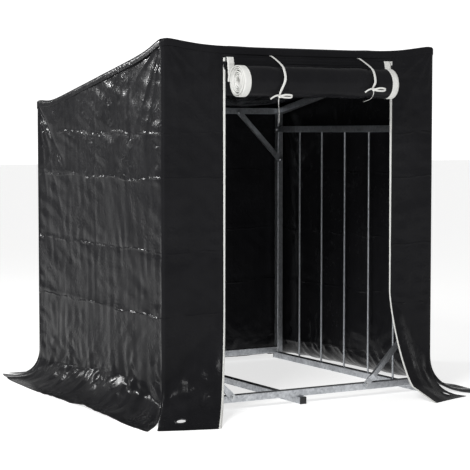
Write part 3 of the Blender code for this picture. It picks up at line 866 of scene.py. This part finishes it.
# Header. The strip over the door; the door's seam and both zips start at its lower part, and a flap
# of it hangs on behind the roll.
HEADER_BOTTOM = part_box("cover_header")[0][2]
ZIP_TOP = DOOR_SEAM + 0.002
ZIP_GAP = 0.0008
columns = np.concatenate([[ZIP_RIGHT[1]], np.linspace(ZIP_RIGHT[0] - ZIP_GAP, ZIP_LEFT[1] + ZIP_GAP, 88),
                          [ZIP_LEFT[0]]])
top = front_top(columns)
share = np.linspace(0, 1, 7)[:, None]
above = top[None, :] * (1 - share) + ZIP_TOP * share
below = np.linspace(ZIP_TOP, HEADER_BOTTOM, 18)[1:, None] * np.ones(len(columns))
heights = np.vstack([above, below])
smooth = np.stack([np.broadcast_to(columns, heights.shape), np.full(heights.shape, FRONT), heights], axis=-1)
across = columns.max() - smooth[..., 0]
relief = 0.0030 * noise_at(across, heights, 0.16, 0.3, 41) + 0.0012 * creases(across, heights, 0.12, 5)
relief += 0.0010 * noise_at(across, heights, 0.03, 0.2, 43)
relief = hold_edges(relief, across, heights, top, 0.03) * np.clip((heights - ZIP_TOP) / 0.012, 0, 1)
points = raise_by(smooth, relief)
points[..., 1] += 0.0016 * np.clip((ZIP_TOP - heights) / 0.01, 0, 1)
keep = np.ones((len(heights) - 1, len(columns) - 1), bool)
keep[6:, 0] = False
keep[6:, -1] = False
sheet = make_sheet("door_header", points, keep)
finish_cover_piece(sheet, "cover_header")

# Roof. One sheet drawn over the rails. Its border is turned down over the walls by 22 mm and sewn on,
# it sags a little between the rails, and the posts hold its corners up.
APRON = 0.022
STAND_OFF = 0.0013
HALF_TUBE = 0.0125


def roof_axis(low, high):
    """Grid positions across the roof, with the border that turns down beyond each edge."""
    border = np.array((APRON, APRON * 0.93, APRON * 0.5, APRON * 0.12))
    inner = np.linspace(0, high - low, int((high - low) / 0.010))
    near = np.array((0.0015, 0.004, 0.0075))
    return np.concatenate([low - border, [low], low + near, low + inner[1:-1], high - near[::-1], [high],
                           high + border[::-1]])


x_axis, y_axis = roof_axis(LEFT, RIGHT), roof_axis(FRONT, BACK)
grid_x, grid_y = np.meshgrid(x_axis, y_axis)
over_x = np.maximum(LEFT - grid_x, 0) + np.maximum(grid_x - RIGHT, 0)
over_y = np.maximum(FRONT - grid_y, 0) + np.maximum(grid_y - BACK, 0)
x, y = np.clip(grid_x, LEFT, RIGHT), np.clip(grid_y, FRONT, BACK)
from_side = np.minimum(x - LEFT, RIGHT - x)
from_end = np.minimum(y - FRONT, BACK - y)
inward = np.minimum(from_side, from_end)
along = (y - FRONT) / (BACK - FRONT)
ends_z = roof_z(y) - top_edge(from_side, FRONT_DROOP, FRONT_RUN) * (1 - along)
ends_z -= top_edge(from_side, BACK_DROOP, BACK_RUN) * along
ends_z += back_lift(np.hypot(from_side, BACK - y))
sides_z = roof_z(y) - top_edge(from_end, SIDE_DROOP, SIDE_RUN) + back_lift(np.hypot(from_side, BACK - y))
edge_z = np.where(from_side <= from_end, sides_z, ends_z)
edge_z = np.where(over_y > 0, ends_z, np.where(over_x > 0, sides_z, edge_z))
mixing = np.clip(inward / 0.08, 0, 1)
surface = edge_z * (1 - mixing) + np.maximum(ends_z, sides_z) * mixing
surface -= 0.020 * np.sin(math.pi * (x - LEFT) / (RIGHT - LEFT)) * np.sin(math.pi * along)
relief = 0.004 * noise_at(x, y, 0.22, 0.26, 51) + 0.0018 * creases(x - LEFT, y - FRONT, 0.2, 6)
for i in (1, 2, 3):
    relief += (0.0022 if i % 2 else -0.002) * fold(x - LEFT - (RIGHT - LEFT) * i / 4, 0.012)
    relief += (0.0022 if i % 2 else -0.002) * fold(y - FRONT - (BACK - FRONT) * i / 4, 0.012)
surface += relief * np.clip(inward / 0.06, 0, 1)

# The rails hold the sheet up where it lies on them
rail_low, rail_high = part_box("top_rail_front")
rear_low, rear_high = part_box("top_rail_rear")
post_x = middle_of("post_front_right")[0]
for support_z, aside in (
        (rail_high[2], np.abs(y - middle_of("top_rail_front")[1])),
        (rear_high[2], np.abs(y - middle_of("top_rail_rear")[1])),
        (rail_high[2] + (rear_high[2] - rail_high[2]) * (y - rail_high[1]) / (rear_low[1] - rail_high[1]),
         np.abs(np.abs(x) - post_x))):
    on_frame = (np.abs(x) < post_x + HALF_TUBE) & (y > rail_low[1]) & (y < rear_high[1])
    support = support_z + STAND_OFF - 0.5 * np.maximum(aside - HALF_TUBE, 0)
    surface = np.where(on_frame, np.maximum(surface, support), surface)

# Its corners are rounded in plan, as the walls are, and its border hangs just outside them
middle_x = np.clip(x, LEFT + CORNER_RADIUS, RIGHT - CORNER_RADIUS)
middle_y = np.clip(y, FRONT + CORNER_RADIUS, BACK - CORNER_RADIUS)
from_middle = np.stack([x - middle_x, y - middle_y], axis=-1)
square = np.abs(from_middle).max(axis=-1)
outwards = unit(from_middle)
flap = np.maximum(over_x, over_y)
place = square + STAND_OFF * np.clip(flap / (APRON * 0.1), 0, 1)
surface = np.minimum(surface, FRONT_TOP) - 0.0025 * np.exp(-inward / 0.003)
points = np.stack([middle_x + outwards[..., 0] * place, middle_y + outwards[..., 1] * place,
                   np.where(flap > 0, edge_z - SEAM_DROP - flap, surface)], axis=-1)[::-1]
keep = ~((over_x[:-1, :-1] + over_x[1:, 1:] > 0) & (over_y[:-1, :-1] + over_y[1:, 1:] > 0))[::-1]
sheet = make_sheet("roof", points, keep)
finish_cover_piece(sheet, "cover_roof")

# ----------------------------------------------------------------------
# Zips. A white coil zip is sewn along each side of the door opening and on down the flap's edge.
# Its tape is 10 mm wide, of which 1 mm on each side is under the hems, and the coil stands up along its
# middle.
# ----------------------------------------------------------------------
TOOTH_PITCH = 0.005
ZIP_TAPE = 0.010
ZIP_REST = 0.0022


def make_strip(name, centre, across, normal, width, thickness, material):
    """A flat closed strip along a line, from its centre, width and face directions."""
    half = across * (width / 2)
    lift = normal * thickness
    ring = [centre - half - lift, centre - half * 0.82 + lift, centre + half * 0.82 + lift,
            centre + half - lift, centre + half * 0.8 - lift * 2, centre - half * 0.8 - lift * 2]
    return make_bar(name, ring, material)


for side, edges in (("left", ZIP_LEFT), ("right", ZIP_RIGHT)):
    line, _ = front_points(np.array(((edges[1], FRONT), (edges[0], FRONT))), side)
    normal = normals_of(line)[:, 0]
    across = unit(line[:, 0] - line[:, 1])
    centre = (line[:, 0] + line[:, 1]) / 2
    use = centre[:, 2] <= ZIP_TOP
    centre, across, normal = centre[use], across[use], normal[use]
    centre[:, 2] = np.maximum(centre[:, 2], ZIP_REST)
    run = run_along(centre)
    tape = make_strip("zip_tape_" + side, centre, across, normal, ZIP_TAPE, 0.0006, white_tape)
    steps = np.arange(TOOTH_PITCH, run[-1] - TOOTH_PITCH, TOOTH_PITCH / 4)
    coil_centre, coil_across, coil_normal = (pick_along(values, run, steps)
                                             for values in (centre, across, normal))
    swing = np.sin(steps / TOOTH_PITCH * math.tau)[:, None]
    coil_path = coil_centre + coil_across * swing * 0.0011 + coil_normal * (0.0014 + 0.0003 * swing)
    coil = make_strip("zip_coil_" + side, coil_path, coil_across, coil_normal, 0.0026, 0.0009, white_tape)
    coil.parent = tape
    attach(tape, "rack")
    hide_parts("zip_" + side)

# Sliders. Black enamelled die-cast bodies with a bridge and a hanging pull, parked above the roll.
enamel, shader, point = start_material("black_enamelled_zinc", Roughness=0.3, Metallic=0.3)
paint(enamel, shader, mottle(enamel, point, 700.0, 4.0), "#0D0D0F", "#1D1D20")
for side in ("left", "right"):
    bm = bmesh.new()
    for place, size, bevel in (
            ((0, 0.0005, 0), (0.0116, 0.0028, 0.0210), 0.0009),
            ((0, -0.0012, 0.0015), (0.0034, 0.0024, 0.0120), 0.0008),
            ((0, -0.0017, -0.0085), (0.0062, 0.0010, 0.0180), 0.0004)):
        before = set(bm.verts)
        bmesh.ops.create_cube(bm, size=1.0)
        fresh = [vert for vert in bm.verts if vert not in before]
        bmesh.ops.scale(bm, vec=size, verts=fresh)
        bmesh.ops.translate(bm, vec=place, verts=fresh)
        for vert in fresh:
            if size[2] > 0.02:
                vert.co.x *= 1.0 if vert.co.z > 0 else 0.72
        rims = [edge for edge in bm.edges if all(v in fresh for v in edge.verts)]
        bmesh.ops.bevel(bm, geom=rims, offset=bevel, segments=2, affect="EDGES")
    slider = bpy.data.objects.new("slider_" + side, finish_mesh(bm, "slider_" + side, enamel))
    slider.location = middle_of("zip_slider_" + side)
    scene.collection.objects.link(slider)
    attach(slider, "slider_" + side)
    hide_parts("zip_slider_" + side)

# ----------------------------------------------------------------------
# Door. The same black sheet with white zip tape along both edges, sewn to the header and rolled up
# outwards. Its turns are uneven by a few millimetres at both ends.
# ----------------------------------------------------------------------
EDGE_TAPE = 0.026
SEAM_GAP = 0.0022
TURNS = 6
CORE = 0.014
ROLL_STEPS = 56


def paint_edges(piece, inside):
    """Faces outside the middle of the door get the white tape."""
    piece.data.materials.append(white_tape)
    for face in piece.data.polygons:
        face.material_index = 0 if inside(face) else 1


# The stretch between the header's seam and the roll. Its rows stand so that they are evenly spaced
# when the door is down, where a row's share of the travel is ease(t).
roll_back = ROLL_Y + ROLL_RADIUS
t = 0.5 - np.sin(np.arcsin(1 - 2 * np.linspace(0, 1, 90)) / 3)[:, None]
door_x = np.concatenate([np.linspace(DOOR_RIGHT, DOOR_RIGHT - EDGE_TAPE, 5)[:-1],
                         np.linspace(DOOR_RIGHT - EDGE_TAPE, DOOR_LEFT + EDGE_TAPE, 70),
                         np.linspace(DOOR_LEFT + EDGE_TAPE, DOOR_LEFT, 5)[1:]])
z = DOOR_SEAM - (DOOR_SEAM - ROLL_Z) * t
lowered = z - TRAVEL * ease(t)
seam_y = FRONT - SEAM_GAP
y = seam_y - (seam_y - roll_back) * t ** 0.8
ripple = 0.0022 * noise_at(door_x[None, :], lowered, 0.12, 0.30, 61)
ripple += 0.0009 * creases(door_x[None, :], lowered, 0.14, 9)
ripple = ripple * np.clip(t / 0.15, 0, 1) * np.clip((1 - t) / 0.1, 0, 1)
points = np.stack(np.broadcast_arrays(door_x, y - np.abs(ripple), z), axis=-1)
stretch = make_sheet("door_stretch", points)
paint_edges(stretch, lambda face: DOOR_LEFT + EDGE_TAPE < face.center.x < DOOR_RIGHT - EDGE_TAPE)
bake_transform(stretch)
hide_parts(*["door_panel_%d" % i for i in range(1, 9)])

# The rolled part: one spiral from the core to the back of the roll, pulled in where the ties hold it
angles = np.linspace(0, math.tau * TURNS, ROLL_STEPS * TURNS)
pitch = (ROLL_RADIUS - 0.0015 - CORE) / TURNS
inner_share = angles / angles[-1]
left_edge = DOOR_LEFT - 0.001 + 0.0022 * np.sin(angles * 0.63) + 0.004 * (1 - inner_share)
right_edge = roll_high[0] - 0.001 + 0.006 * (1 - inner_share) + 0.0025 * np.sin(angles * 0.8 + 1.0)
tape_share = EDGE_TAPE / (right_edge.mean() - left_edge.mean())
share = np.concatenate([np.linspace(0, tape_share, 5)[:-1], np.linspace(tape_share, 1 - tape_share, 76),
                        np.linspace(1 - tape_share, 1, 5)[1:]])
x = left_edge[:, None] + (right_edge - left_edge)[:, None] * share[None, :]
radius = CORE + pitch * TURNS * inner_share[:, None] + 0 * x
radius += 0.0014 * noise_at(x, angles[:, None] * 0.055, 0.09, 0.05, 71) * (0.3 + 0.7 * inner_share[:, None])
radius += 0.0009 * noise_at(x, angles[:, None] * 0.055, 0.022, 0.12, 72)
for tie_x in (-0.158, 0.212):
    radius -= 0.0035 * hill(x - tie_x, 0.022) * inner_share[:, None]
radius = np.minimum(radius, ROLL_RADIUS)
phase = angles[-1] - angles[:, None]
oval = 1 - 0.30 * (1 - inner_share[:, None]) ** 1.5
points = np.stack([x, ROLL_Y + radius * oval * np.cos(phase), ROLL_Z + radius * np.sin(phase)], axis=-1)
roll = make_sheet("rolled_door", points)
columns = len(share) - 1
paint_edges(roll, lambda face: 4 <= face.index % columns < columns - 4)
roll.modifiers["thickness"].thickness = 0.0032
roll.modifiers["thickness"].offset = 0.0
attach(roll, "rolled_door")
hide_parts("door_roll")
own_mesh(roll)
